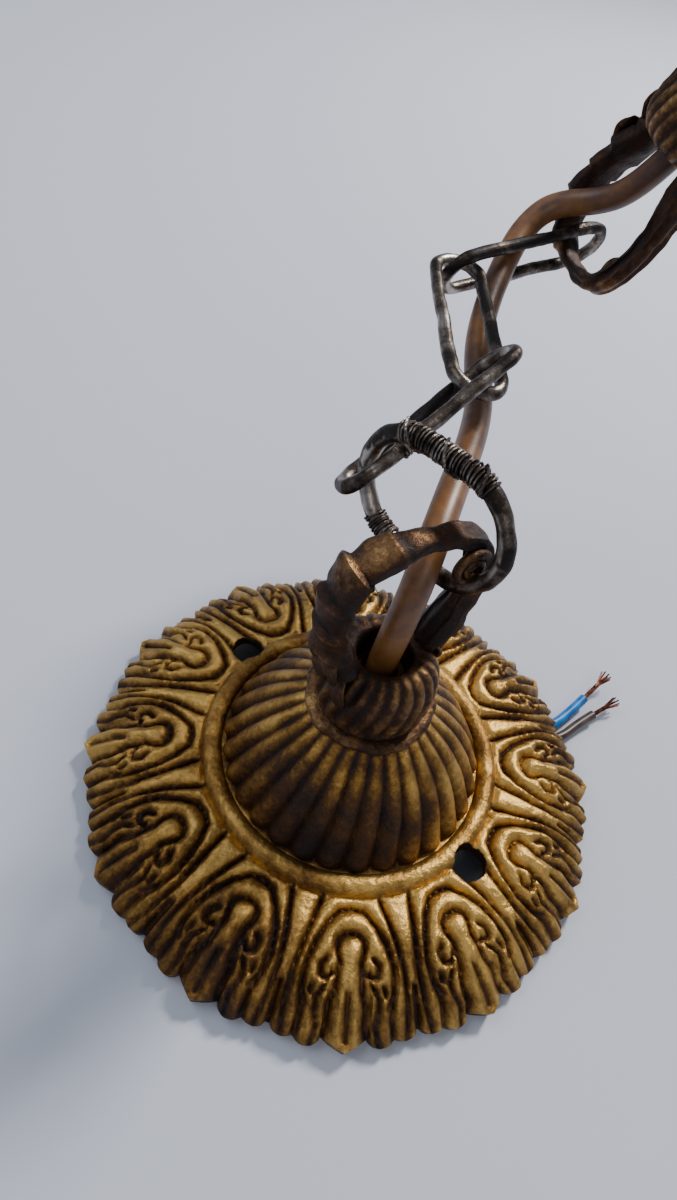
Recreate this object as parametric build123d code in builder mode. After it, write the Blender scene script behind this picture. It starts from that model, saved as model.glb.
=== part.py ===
from build123d import *
import os
from math import cos, radians, sin, tan

# Ceiling canopy, chain and flex of a hanging sanctuary lamp, in millimetres.
# The origin is the centre of the canopy's back, which sits against the ceiling; +Z points
# out of the ceiling, towards the yoke.
os.makedirs("parts", exist_ok=True)

# Canopy plate: a thin brass casting, a leafy skirt round a fluted dome
PLATE_RADIUS = 57.5
RIM_THICKNESS = 2.0
RIM_FOOT_WIDTH = 2.5
SHOULDER_UNDERCUT = 1.1
PLATE_WALL = 2.2
LEAF_COUNT = 12
LOBES_PER_LEAF = 3
LEAF_NOTCH_DEPTH = 2.2
LOBE_NOTCH_DEPTH = 1.3
SIDE_LOBE_DROP = 0.6
SKIRT_SHOULDER_RADIUS = 46.0
SKIRT_SHOULDER_HEIGHT = 8.6
SKIRT_INNER_RADIUS = 26.0
BEAD_RING_RADIUS = 30.3
BEAD_RING_HEIGHT = 12.2
BEAD_THICKNESS = 3.4
FLUTE_COUNT = 30
DOME_HEIGHT = 32.0
DOME_FOOT_HEIGHT = 10.88
DOME_FOOT_RADIUS = 28.2
# Height above the dome's foot, radius over the flutes and depth between them, each as a
# share of the dome's own
DOME_PROFILE = [
    (0.0, 1.0, 1.0),
    (0.242, 0.955, 1.0),
    (0.53, 0.83, 0.9),
    (0.811, 0.62, 0.75),
    (1.0, 0.44, 0.5),
]
FLUTE_DEPTH = 1.1
SCREW_CIRCLE_DIAMETER = 68.6
SCREW_HOLE_DIAMETER = 7.2
SCREW_COUNT = 2
SCREW_HOLE_ANGLE = 146.0
CORE_NOTCH_ANGLE = 27.4
CORE_NOTCH_WIDTH = 9.0
CORE_NOTCH_HEIGHT = 2.9
CORE_NOTCH_REACH = 14.4

# Threaded tube, washer, nut and collar that hold a yoke
TUBE_DIAMETER = 10.0
TUBE_BORE = 7.4
TUBE_CLEARANCE = 0.05
TUBE_INTO_HUB = 8.0
TUBE_PAST_NUT = 4.2
CROWN_TUBE_LENGTH = 27.0
COLLAR_DIAMETER = 26.0
COLLAR_THICKNESS = 1.8
WASHER_DIAMETER = 17.0
WASHER_THICKNESS = 1.2
NUT_ACROSS_FLATS = 14.0
NUT_THICKNESS = 3.6

# Yoke: a reeded hub with a bow standing on two bulging arms, cast in one
HUB_FOOT_DIAMETER = 19.0
HUB_DIAMETER = 24.0
HUB_TOP_DIAMETER = 20.0
HUB_HEIGHT = 14.2
HUB_WIDEST_HEIGHT = 6.4
HUB_MOUTH_DIAMETER = 10.6
YOKE_BAR = 4.8
YOKE_FOOT_HALF_WIDTH = 7.6
YOKE_HALF_WIDTH = 14.5
YOKE_BOW_HEIGHT = 43.4
ARM_FOOT_DEPTH = 2.2
KNEE_INSET = 2.0
KNEE_RISE = 7.0
SIDE_DROP = 13.2
SHOULDER_INSET = 3.0
SHOULDER_DROP = 2.7
BOW_FLAT_HALF = 4.0
LEAF_KNOB_DIAMETER = 8.4
CANOPY_YOKE_ANGLE = 38.0

# Chain: four links of bent wire; lengths and widths are those of the wire's centre line
RING_WIRE = 3.3
LINK_WIRE = 2.8
RING_LENGTH = 32.0
RING_WIDTH = 21.6
SLIM_LENGTH = 43.1
SLIM_WIDTH = 10.4
BENT_LENGTH = 45.9
BENT_WIDTH = 11.0
CROSS_LENGTH = 45.9
CROSS_WIDTH = 10.0
LINK_GAP = 0.5
BINDING_WIRE = 0.5
BINDING_GAP = 0.03
UPPER_BINDING_TURN = 25.0
LOWER_BINDING_START = -82.0
LOWER_BINDING_TURN = 30.0
SLIM_BINDING_LENGTH = 5.0
SLIM_BINDING_START = 6.0

# The way each link lies: the direction it runs in and the direction across it
RING_ALONG = (-0.781, 0.617, -0.097)
RING_ACROSS = (-0.013, 0.139, 0.99)
SLIM_ALONG = (0.553, 0.761, 0.339)
SLIM_ACROSS = (-0.406, 0.602, -0.688)
BENT_ALONG = (-0.2, 0.978, 0.06)
BENT_ACROSS = (0.968, 0.207, -0.142)
CROSS_ALONG = (0.746, 0.662, 0.07)
CROSS_ACROSS = (0.152, -0.273, 0.95)
CROWN_ALONG = (0.405, -0.015, 0.914)
CROWN_ACROSS = (0.363, -0.915, -0.176)

# Where each link's near end lies from the far end of the one that holds it, counted in the
# spacing of two touching wires
RING_HOOK = (0.965, -1.107, 0.142)
SLIM_HOOK = (-0.839, -1.295, -0.819)
BENT_HOOK = (-1.145, -2.369, -1.532)
CROSS_HOOK = (-0.437, -1.372, -0.544)
CROWN_HOOK = (-1.442, -2.797, -0.309)

# Flex: the sheathed cable through the canopy, beside the chain and into the crown
FLEX_DIAMETER = 5.8
# Inside the dome its points are counted from the ceiling, and past it from the hub's seat
FLEX_IN_DOME = [
    (14.0, 8.0, 7.0),
    (7.0, 4.0, 9.5),
    (0.6, 0.3, 15.5),
]
FLEX_ABOVE_SEAT = [
    (0.0, 0.0, -7.8),
    (0.0, 0.1, 8.2),
    (0.8, 0.2, 20.2),
    (1.6, 1.6, 29.2),
    (2.3, 6.0, 34.8),
    (3.4, 14.0, 36.8),
    (4.9, 25.1, 36.8),
    (7.1, 39.2, 36.0),
    (7.8, 54.0, 35.6),
    (5.1, 67.9, 38.0),
    (5.3, 81.8, 41.9),
    (7.2, 92.8, 46.6),
    (9.4, 101.7, 50.8),
    (13.3, 106.6, 55.1),
    (18.2, 107.5, 57.6),
    (23.8, 106.0, 59.8),
    (29.2, 103.0, 64.0),
    (34.2, 100.4, 73.4),
    (39.4, 100.4, 84.4),
    (44.0, 100.1, 95.3),
    (49.0, 99.9, 106.2),
]
# The route's points between which each stretch of the flex runs, from mid run to mid run
FLEX_CUTS = [9, 12, 14, 17]

# Two insulated cores that leave the sheath inside the dome and come out under the rim
CORE_DIAMETER = 2.4
CORE_SPREAD = 1.3
CORE_SPLAY = 8.0
# Each core's points are counted outwards from the rim, sideways from the notch and up
NEUTRAL_ROUTE = [
    (-23.49, 1.52, 1.6),
    (-11.65, 0.45, 1.45),
    (-1.76, 1.07, 1.45),
    (5.17, 4.01, 1.8),
    (10.09, 6.53, 2.4),
]
LIVE_ROUTE = [
    (-23.4, -1.57, 1.5),
    (-11.65, -2.82, 1.45),
    (-1.45, -2.7, 1.45),
    (5.48, 0.25, 1.7),
    (10.24, 1.61, 2.1),
]
CONDUCTOR_DIAMETER = 1.1
NEUTRAL_BARE_LENGTH = 7.0
NEUTRAL_SPRAY_LENGTH = 4.0
NEUTRAL_SPRAY_DIAMETER = 5.0
LIVE_BARE_LENGTH = 5.0
LIVE_SPRAY_LENGTH = 4.0
LIVE_SPRAY_DIAMETER = 3.8

HUB_SEAT = DOME_HEIGHT + COLLAR_THICKNESS
WASHER_TOP = DOME_HEIGHT - PLATE_WALL
NUT_TOP = WASHER_TOP - WASHER_THICKNESS
TUBE_FOOT = NUT_TOP - NUT_THICKNESS - TUBE_PAST_NUT
TUBE_HOLE = TUBE_DIAMETER + 2 * TUBE_CLEARANCE
FLEX_ROUTE = FLEX_IN_DOME + [(x, y, HUB_SEAT + rise) for x, y, rise in FLEX_ABOVE_SEAT]


# Share of the shorter of two runs that a bend between them takes up
BEND_SHARE = 0.45


def bend_radii(points):
    """Radius at each inner point, as large as the shorter run beside it allows."""
    corners = [Vector(*point) for point in points]
    radii = []
    for before, here, after in zip(corners, corners[1:], corners[2:]):
        arriving = here - before
        leaving = after - here
        half_turn = radians(arriving.get_angle(leaving) / 2)
        radii.append(BEND_SHARE * min(arriving.length, leaving.length) / tan(half_turn))
    return radii


def middle(first, second):
    """Point halfway between two points of a route."""
    return tuple((a + b) / 2 for a, b in zip(first, second))


def write_piece(piece, label):
    """Name a finished piece and write it to its own file."""
    piece.part.label = label
    export_step(piece.part, f"parts/{label}.step")


def lobed_outline():
    """Closed edge of the skirt: each leaf ends in three rounded lobes, the middle one longest."""
    step = 360 / (LOBES_PER_LEAF * LEAF_COUNT)
    leaf_notch = PLATE_RADIUS - LEAF_NOTCH_DEPTH
    lobe_notch = PLATE_RADIUS - LOBE_NOTCH_DEPTH
    side_tip = PLATE_RADIUS - SIDE_LOBE_DROP
    lobes = [(side_tip, lobe_notch), (PLATE_RADIUS, lobe_notch), (side_tip, leaf_notch)]
    with BuildLine() as outline:
        for leaf in range(LEAF_COUNT):
            start = leaf * LOBES_PER_LEAF * step
            first = (leaf_notch * cos(radians(start)), leaf_notch * sin(radians(start)))
            for lobe, (tip, end) in enumerate(lobes):
                mid_angle = radians(start + (lobe + 0.5) * step)
                end_angle = radians(start + (lobe + 1) * step)
                last = (end * cos(end_angle), end * sin(end_angle))
                ThreePointArc(first, (tip * cos(mid_angle), tip * sin(mid_angle)), last)
                first = last
    return outline.line


def dome_level(share):
    """Height of a level of the dome, from its share of the way up from the dome's foot."""
    return DOME_FOOT_HEIGHT + share * (DOME_HEIGHT - DOME_FOOT_HEIGHT)


def flute_outline(radius, depth):
    """Closed edge of the dome at one height: rounded flutes with sharp valleys between them."""
    step = radians(360 / FLUTE_COUNT)
    valley = radius - depth
    with BuildLine() as outline:
        for flute in range(FLUTE_COUNT):
            start, mid, end = flute * step, (flute + 0.5) * step, (flute + 1) * step
            ThreePointArc(
                (valley * cos(start), valley * sin(start)),
                (radius * cos(mid), radius * sin(mid)),
                (valley * cos(end), valley * sin(end)),
            )
    return outline.line


def make_canopy_plate():
    """Skirt, fluted dome and bead ring in one casting, hollow behind."""
    with BuildPart() as canopy_plate:
        with BuildSketch(Plane.XZ):
            with BuildLine():
                top_edge = (PLATE_RADIUS, RIM_THICKNESS)
                foot_edge = (PLATE_RADIUS, 0)
                inner_foot = (PLATE_RADIUS - RIM_FOOT_WIDTH, 0)
                inner_top = (SKIRT_INNER_RADIUS, BEAD_RING_HEIGHT)
                inner_under = (SKIRT_INNER_RADIUS, BEAD_RING_HEIGHT - PLATE_WALL)
                shoulder = (SKIRT_SHOULDER_RADIUS, SKIRT_SHOULDER_HEIGHT)
                under_shoulder = (SKIRT_SHOULDER_RADIUS - SHOULDER_UNDERCUT, SKIRT_SHOULDER_HEIGHT - PLATE_WALL)
                Line(foot_edge, top_edge)
                ThreePointArc(top_edge, shoulder, inner_top)
                Line(inner_top, inner_under)
                ThreePointArc(inner_under, under_shoulder, inner_foot)
                Line(inner_foot, foot_edge)
            make_face()
        revolve(axis=Axis.Z)
        with BuildSketch(Plane.XY):
            add(lobed_outline())
            make_face()
        extrude(amount=DOME_HEIGHT, mode=Mode.INTERSECT)
        with BuildSketch(Plane.XZ):
            with Locations((BEAD_RING_RADIUS, BEAD_RING_HEIGHT)):
                Circle(BEAD_THICKNESS / 2)
        revolve(axis=Axis.Z)
        for share, radius, depth in DOME_PROFILE:
            with BuildSketch(Plane.XY.offset(dome_level(share))):
                add(flute_outline(radius * DOME_FOOT_RADIUS, depth * FLUTE_DEPTH))
                make_face()
        loft(ruled=True)
        with BuildSketch(Plane.XZ):
            with BuildLine():
                inside = []
                for share, radius, depth in DOME_PROFILE[:-1]:
                    valley = radius * DOME_FOOT_RADIUS - depth * FLUTE_DEPTH
                    inside.append((valley - PLATE_WALL, dome_level(share)))
                top = (inside[-1][0], WASHER_TOP)
                Polyline((0, 0), (inside[0][0], 0), *inside, top, (0, WASHER_TOP), close=True)
            make_face()
        revolve(axis=Axis.Z, mode=Mode.SUBTRACT)
        with BuildSketch(Plane.XY):
            Circle(TUBE_HOLE / 2)
            with PolarLocations(SCREW_CIRCLE_DIAMETER / 2, SCREW_COUNT, start_angle=SCREW_HOLE_ANGLE):
                Circle(SCREW_HOLE_DIAMETER / 2)
        extrude(amount=DOME_HEIGHT + PLATE_WALL, mode=Mode.SUBTRACT)
        with BuildSketch(Plane.XY):
            with PolarLocations(PLATE_RADIUS, 1, start_angle=CORE_NOTCH_ANGLE):
                Rectangle(2 * CORE_NOTCH_REACH, CORE_NOTCH_WIDTH)
        extrude(amount=CORE_NOTCH_HEIGHT, mode=Mode.SUBTRACT)
    write_piece(canopy_plate, "canopy_plate")


def make_canopy_fixings():
    """Collar over the dome, and the washer and nut that clamp it from inside."""
    with BuildPart() as neck_collar:
        with BuildSketch(Plane.XY.offset(DOME_HEIGHT)):
            Circle(COLLAR_DIAMETER / 2)
            Circle(TUBE_HOLE / 2, mode=Mode.SUBTRACT)
        extrude(amount=COLLAR_THICKNESS)
    write_piece(neck_collar, "neck_collar")

    with BuildPart() as canopy_washer:
        with BuildSketch(Plane.XY.offset(NUT_TOP)):
            Circle(WASHER_DIAMETER / 2)
            Circle(TUBE_HOLE / 2, mode=Mode.SUBTRACT)
        extrude(amount=WASHER_THICKNESS)
    write_piece(canopy_washer, "canopy_washer")

    with BuildPart() as canopy_nut:
        with BuildSketch(Plane.XY.offset(NUT_TOP - NUT_THICKNESS)):
            RegularPolygon(NUT_ACROSS_FLATS / 2, 6, major_radius=False)
            Circle(TUBE_HOLE / 2, mode=Mode.SUBTRACT)
        extrude(amount=NUT_THICKNESS)
    write_piece(canopy_nut, "canopy_nut")


def make_tube(label, seat, below):
    """Threaded tube through a hub's seat, reaching the given way below it."""
    with BuildPart() as tube:
        with BuildSketch(seat.offset(-below)):
            Circle(TUBE_DIAMETER / 2)
            Circle(TUBE_BORE / 2, mode=Mode.SUBTRACT)
        extrude(amount=below + TUBE_INTO_HUB)
    write_piece(tube, label)


def yoke_arch():
    """Centre line of the arms and bow, as (across, height above the seat)."""
    half = [
        (YOKE_FOOT_HALF_WIDTH, HUB_HEIGHT - ARM_FOOT_DEPTH),
        (YOKE_HALF_WIDTH - KNEE_INSET, HUB_HEIGHT + KNEE_RISE),
        (YOKE_HALF_WIDTH, YOKE_BOW_HEIGHT - SIDE_DROP),
        (YOKE_HALF_WIDTH - SHOULDER_INSET, YOKE_BOW_HEIGHT - SHOULDER_DROP),
        (BOW_FLAT_HALF, YOKE_BOW_HEIGHT),
    ]
    return half + [(-across, height) for across, height in reversed(half)]


def make_yoke(label, seat):
    """Reeded hub with the bow over it, standing on the seat plane and opening along its x."""
    upright = Plane(seat.origin, x_dir=seat.x_dir, z_dir=-seat.y_dir)
    arch = yoke_arch()
    with BuildPart() as yoke:
        with BuildSketch(upright):
            with BuildLine():
                foot = (HUB_FOOT_DIAMETER / 2, 0)
                widest = (HUB_DIAMETER / 2, HUB_WIDEST_HEIGHT)
                top = (HUB_TOP_DIAMETER / 2, HUB_HEIGHT)
                Line((0, 0), foot)
                ThreePointArc(foot, widest, top)
                Polyline(top, (0, HUB_HEIGHT), (0, 0))
            make_face()
        revolve(axis=Axis(seat.origin, seat.z_dir))
        with BuildLine(upright) as path:
            FilletPolyline(*arch, radius=bend_radii([(x, y, 0) for x, y in arch]))
        with BuildSketch(Plane(path.wires()[0] @ 0, z_dir=path.wires()[0] % 0)):
            Circle(YOKE_BAR / 2)
        sweep(path=path.wires()[0])
        for across, height in (arch[1], arch[-2]):
            with Locations(upright.from_local_coords(Vector(across, height, 0))):
                Sphere(LEAF_KNOB_DIAMETER / 2)
        with BuildSketch(seat):
            Circle(TUBE_HOLE / 2)
        extrude(amount=TUBE_INTO_HUB, mode=Mode.SUBTRACT)
        with BuildSketch(seat.offset(TUBE_INTO_HUB)):
            Circle(HUB_MOUTH_DIAMETER / 2)
        extrude(amount=HUB_HEIGHT - TUBE_INTO_HUB + YOKE_BAR, mode=Mode.SUBTRACT)
    write_piece(yoke, label)


def link_plane(held_at, hook, spacing, along, across, length):
    """Plane of a link, x along it, hung at the far end of the link before it."""
    x_dir = Vector(*along).normalized()
    z_dir = x_dir.cross(Vector(*across)).normalized()
    near_end = held_at + Vector(*hook) * spacing
    return Plane(near_end + x_dir * (length / 2), x_dir=x_dir, z_dir=z_dir)


def make_link(label, flat, length, width, wire):
    """Oval of round wire lying in its plane: two straight sides and two half rings."""
    straight = length - width
    with BuildPart() as link:
        for end in (-1, 1):
            bend_centre = flat.from_local_coords(Vector(end * straight / 2, 0, 0))
            section = Plane(bend_centre, x_dir=flat.y_dir, z_dir=flat.x_dir * end)
            with BuildSketch(section):
                with Locations((width / 2, 0)):
                    Circle(wire / 2)
            revolve(axis=Axis(bend_centre, flat.z_dir * -end), revolution_arc=180)
        for side in (-1, 1):
            bar_end = flat.from_local_coords(Vector(-straight / 2, side * width / 2, 0))
            with BuildSketch(Plane(bar_end, z_dir=flat.x_dir)):
                Circle(wire / 2)
            extrude(amount=straight)
    write_piece(link, label)


def wrap_round(label, path, wire):
    """Sleeve standing for a layer of fine binding wire wound along a stretch of a link."""
    with BuildPart() as binding:
        with BuildSketch(Plane(path @ 0, z_dir=path % 0)):
            Circle(wire / 2 + BINDING_GAP + BINDING_WIRE)
            Circle(wire / 2 + BINDING_GAP, mode=Mode.SUBTRACT)
        sweep(path=path)
    write_piece(binding, label)


def make_bindings(ring, slim):
    """Two wrapped stretches on the ring and one on the slim link."""
    bend = RING_WIDTH / 2
    straight = (RING_LENGTH - RING_WIDTH) / 2
    with BuildLine(ring) as upper:
        near = CenterArc((-straight, 0), bend, 90 + UPPER_BINDING_TURN, -UPPER_BINDING_TURN)
        Line(near @ 1, (straight, bend))
        CenterArc((straight, 0), bend, 90, -UPPER_BINDING_TURN)
    wrap_round("ring_binding_upper", upper.wires()[0], RING_WIRE)

    with BuildLine(ring) as lower:
        CenterArc((straight, 0), bend, LOWER_BINDING_START, LOWER_BINDING_TURN)
    wrap_round("ring_binding_lower", lower.wires()[0], RING_WIRE)

    far_end = -SLIM_BINDING_START - SLIM_BINDING_LENGTH
    with BuildLine(slim) as side:
        Line((far_end, -SLIM_WIDTH / 2), (-SLIM_BINDING_START, -SLIM_WIDTH / 2))
    wrap_round("slim_link_binding", side.wires()[0], LINK_WIRE)


def make_cord(label, points, diameter):
    """Round cord along straight runs joined by tangent arcs; returns its path."""
    radii = bend_radii(points)
    with BuildPart() as cord:
        with BuildLine() as path:
            FilletPolyline(*points, radius=radii)
        route = path.wires()[0]
        with BuildSketch(Plane(route @ 0, z_dir=route % 0)):
            Circle(diameter / 2)
        sweep(path=route)
    write_piece(cord, label)
    print(label, "length", round(route.length, 1), "radii", [round(radius, 1) for radius in radii])
    return route


def make_flex():
    """Sheathed flex in five stretches that meet face to face, each at the middle of a run."""
    first = 0
    start = [FLEX_ROUTE[0]]
    total = 0
    for number, cut in enumerate(FLEX_CUTS + [len(FLEX_ROUTE) - 1], 1):
        last = cut == len(FLEX_ROUTE) - 1
        end = FLEX_ROUTE[cut] if last else middle(FLEX_ROUTE[cut], FLEX_ROUTE[cut + 1])
        inner = FLEX_ROUTE[first + 1 : cut + (0 if last else 1)]
        route = make_cord(f"flex_{number}", start + inner + [end], FLEX_DIAMETER)
        total += route.length
        first = cut
        start = [end]
    print("flex total length", round(total, 1))


def make_core(name, side, route, bare, spray, spray_diameter):
    """One insulated core, with its bare conductor and the loose strands at the tip."""
    sheath_end = Vector(*FLEX_ROUTE[0])
    outward = (sheath_end - Vector(*FLEX_ROUTE[1])).normalized()
    across = Vector(-outward.Y, outward.X, 0).normalized()
    start = sheath_end + across * (side * CORE_SPREAD)
    points = [tuple(start), tuple(start + outward * CORE_SPLAY)]
    notch = Plane((0, 0, 0), x_dir=(cos(radians(CORE_NOTCH_ANGLE)), sin(radians(CORE_NOTCH_ANGLE)), 0))
    for out, sideways, height in route:
        points.append(tuple(notch.from_local_coords(Vector(PLATE_RADIUS + out, sideways, height))))
    path = make_cord(f"{name}_core", points, CORE_DIAMETER)

    tip = Plane(path @ 1, z_dir=path % 1)
    with BuildPart() as strands:
        with BuildSketch(tip):
            Circle(CONDUCTOR_DIAMETER / 2)
        extrude(amount=bare)
        with BuildSketch(tip.offset(bare)):
            Circle(CONDUCTOR_DIAMETER / 2)
        with BuildSketch(tip.offset(bare + spray)):
            Circle(spray_diameter / 2)
        loft()
    write_piece(strands, f"{name}_strands")


yoke_angle = radians(CANOPY_YOKE_ANGLE)
canopy_seat = Plane((0, 0, HUB_SEAT), x_dir=(cos(yoke_angle), sin(yoke_angle), 0))
make_canopy_plate()
make_canopy_fixings()
make_tube("canopy_tube", canopy_seat, HUB_SEAT - TUBE_FOOT)
make_yoke("canopy_yoke", canopy_seat)

# The ring hangs on the right shoulder of the canopy's bow, and each link on the one before
shoulder_across = YOKE_HALF_WIDTH - SHOULDER_INSET
shoulder_height = YOKE_BOW_HEIGHT - SHOULDER_DROP
shoulder = canopy_seat.from_local_coords(Vector(shoulder_across, 0, shoulder_height))
ring_spacing = (YOKE_BAR + RING_WIRE) / 2 + LINK_GAP
ring = link_plane(shoulder, RING_HOOK, ring_spacing, RING_ALONG, RING_ACROSS, RING_LENGTH)
make_link("ring_link", ring, RING_LENGTH, RING_WIDTH, RING_WIRE)

slim_spacing = (RING_WIRE + LINK_WIRE) / 2 + LINK_GAP
ring_end = ring.from_local_coords(Vector(RING_LENGTH / 2, 0, 0))
slim = link_plane(ring_end, SLIM_HOOK, slim_spacing, SLIM_ALONG, SLIM_ACROSS, SLIM_LENGTH)
make_link("slim_link", slim, SLIM_LENGTH, SLIM_WIDTH, LINK_WIRE)
make_bindings(ring, slim)

wire_spacing = LINK_WIRE + LINK_GAP
slim_end = slim.from_local_coords(Vector(SLIM_LENGTH / 2, 0, 0))
bent = link_plane(slim_end, BENT_HOOK, wire_spacing, BENT_ALONG, BENT_ACROSS, BENT_LENGTH)
make_link("bent_link", bent, BENT_LENGTH, BENT_WIDTH, LINK_WIRE)

bent_end = bent.from_local_coords(Vector(BENT_LENGTH / 2, 0, 0))
cross = link_plane(bent_end, CROSS_HOOK, wire_spacing, CROSS_ALONG, CROSS_ACROSS, CROSS_LENGTH)
make_link("cross_link", cross, CROSS_LENGTH, CROSS_WIDTH, LINK_WIRE)

# The crown yoke is the same casting, turned over: its bow hangs on the cross link
crown_spacing = (YOKE_BAR + LINK_WIRE) / 2 + LINK_GAP
cross_end = cross.from_local_coords(Vector(CROSS_LENGTH / 2, 0, 0))
crown_axis = Vector(*CROWN_ALONG).normalized()
crown_bow = cross_end + Vector(*CROWN_HOOK) * crown_spacing
crown_seat = Plane(crown_bow + crown_axis * YOKE_BOW_HEIGHT, x_dir=Vector(*CROWN_ACROSS), z_dir=-crown_axis)
make_yoke("crown_yoke", crown_seat)
make_tube("crown_tube", crown_seat, CROWN_TUBE_LENGTH - TUBE_INTO_HUB)

make_flex()
make_core("neutral", 1, NEUTRAL_ROUTE, NEUTRAL_BARE_LENGTH, NEUTRAL_SPRAY_LENGTH, NEUTRAL_SPRAY_DIAMETER)
make_core("live", -1, LIVE_ROUTE, LIVE_BARE_LENGTH, LIVE_SPRAY_LENGTH, LIVE_SPRAY_DIAMETER)
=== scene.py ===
import bpy
import math
import random
import numpy as np
from mathutils import Matrix, Vector, noise


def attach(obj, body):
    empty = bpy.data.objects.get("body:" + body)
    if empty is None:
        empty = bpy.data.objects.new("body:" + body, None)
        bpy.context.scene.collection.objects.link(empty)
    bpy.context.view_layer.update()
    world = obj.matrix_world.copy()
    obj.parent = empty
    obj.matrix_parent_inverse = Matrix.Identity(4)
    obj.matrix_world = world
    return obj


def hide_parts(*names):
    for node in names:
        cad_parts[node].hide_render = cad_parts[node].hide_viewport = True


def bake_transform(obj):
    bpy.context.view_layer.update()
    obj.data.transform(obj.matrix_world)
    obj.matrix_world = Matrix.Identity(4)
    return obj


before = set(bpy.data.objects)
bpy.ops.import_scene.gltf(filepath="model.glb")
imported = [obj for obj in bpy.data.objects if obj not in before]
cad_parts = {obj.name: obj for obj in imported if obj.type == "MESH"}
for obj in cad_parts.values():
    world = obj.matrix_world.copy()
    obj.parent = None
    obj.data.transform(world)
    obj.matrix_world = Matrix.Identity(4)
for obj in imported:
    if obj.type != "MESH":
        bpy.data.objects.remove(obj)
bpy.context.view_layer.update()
random.seed(7)
noise.seed_set(7)
MM = 0.001

# Viewpoint and studio: the canopy lies on its back on a pale cloth-coloured floor, lit by a
# soft window-like light from the upper right and a weaker one from the left.
camera_data = bpy.data.cameras.new("studio_camera")
camera_data.sensor_width = 36.0
camera_data.lens = 24.0
camera_data.clip_start = 0.005
camera = bpy.data.objects.new("studio_camera", camera_data)
bpy.context.scene.collection.objects.link(camera)
bpy.context.scene.camera = camera
tilt_down = math.radians(48.9)
roll = math.radians(14.2)
forward = Vector((0.0, math.cos(tilt_down), -math.sin(tilt_down)))
level = Vector((1.0, 0.0, 0.0))
above = level.cross(forward)
camera_right = level * math.cos(roll) + above * math.sin(roll)
camera_up = above * math.cos(roll) - level * math.sin(roll)
axes = Matrix((camera_right, camera_up, -forward)).transposed().to_4x4()
camera_place = (-0.0107, -0.0922, 0.1642)
camera.matrix_world = Matrix.Translation(camera_place) @ axes


def area_light(name, place, aim, size, power, colour):
    data = bpy.data.lights.new(name, "AREA")
    data.shape = "DISK"
    data.size = size
    data.energy = power
    data.color = colour
    lamp = bpy.data.objects.new(name, data)
    lamp.location = place
    lamp.rotation_euler = (Vector(aim) - Vector(place)).to_track_quat("-Z", "Y").to_euler()
    bpy.context.scene.collection.objects.link(lamp)
    return lamp


area_light("window_light", (0.42, 0.66, 0.72), (0.0, 0.03, 0.02), 0.2, 13.0, (1.0, 0.97, 0.93))
area_light("sky_fill", (-0.7, 0.1, 0.9), (0.0, 0.03, 0.02), 0.8, 4.0, (0.84, 0.9, 1.0))
area_light("front_fill", (0.3, -0.7, 0.75), (0.0, 0.0, 0.02), 0.5, 1.6, (1.0, 0.94, 0.86))

world = bpy.data.worlds.new("soft_room")
bpy.context.scene.world = world
world.use_nodes = True
world.node_tree.nodes["Background"].inputs["Color"].default_value = (0.62, 0.68, 0.78, 1.0)
world.node_tree.nodes["Background"].inputs["Strength"].default_value = 0.42


def linear(code):
    """Linear colour of an sRGB hex value."""
    parts = [int(code[i:i + 2], 16) / 255 for i in (1, 3, 5)]
    straight = [p / 12.92 if p <= 0.04045 else ((p + 0.055) / 1.055) ** 2.4 for p in parts]
    return tuple(straight) + (1.0,)


def add_node(tree, kind, links=None, **settings):
    """Add a node, set its sockets and properties, and link other nodes' outputs into it."""
    node = tree.nodes.new(kind)
    for key, value in settings.items():
        if key.startswith("in_"):
            name = key[3:]
            socket = node.inputs[int(name) if name.isdigit() else name.replace("_", " ")]
            socket.default_value = value
        else:
            setattr(node, key, value)
    for name, source in (links or {}).items():
        tree.links.new(source, node.inputs[name])
    return node


def colour_steps(node, steps):
    """Set a colour ramp's stops from (position, sRGB hex) pairs."""
    ramp = node.color_ramp
    while len(ramp.elements) < len(steps):
        ramp.elements.new(0.5)
    for element, (place, code) in zip(ramp.elements, steps):
        element.position = place
        element.color = linear(code)
    return node


def new_material(name):
    material = bpy.data.materials.new(name)
    material.use_nodes = True
    return material, material.node_tree, material.node_tree.nodes["Principled BSDF"]


bpy.ops.object.select_all(action="DESELECT")
bpy.ops.mesh.primitive_plane_add(size=4.0, location=(0.0, 0.0, -0.0002))
floor = bpy.context.object
floor.name = "studio_floor"
# Matt painted board, the pale blue grey of a cotton sheet in window light
material, tree, shader = new_material("pale_painted_board")
shader.inputs["Base Color"].default_value = linear("#c3c7d3")
shader.inputs["Roughness"].default_value = 0.9
shader.inputs["Specular IOR Level"].default_value = 0.15
floor.data.materials.append(material)

# Canopy plate: one thin brass casting, sand cast and chased, its fluted dome standing in a
# plain ring and its skirt carved with twelve leaves. Every leaf has a looped scroll round a
# long tongue, between ribs that fan out from the ring, and ends in pointed lobes at the rim.
LEAVES = 12
LEAF_TURN = math.radians(10.5)
FLUTES = 30
AROUND = 720
LEAF_RADIUS = 45.0
SKIRT_START = 32.7
SKIRT_REACH = 24.8
MIDDLE_LOBE = 3.7
half_leaf = LEAF_RADIUS * math.pi / LEAVES

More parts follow.
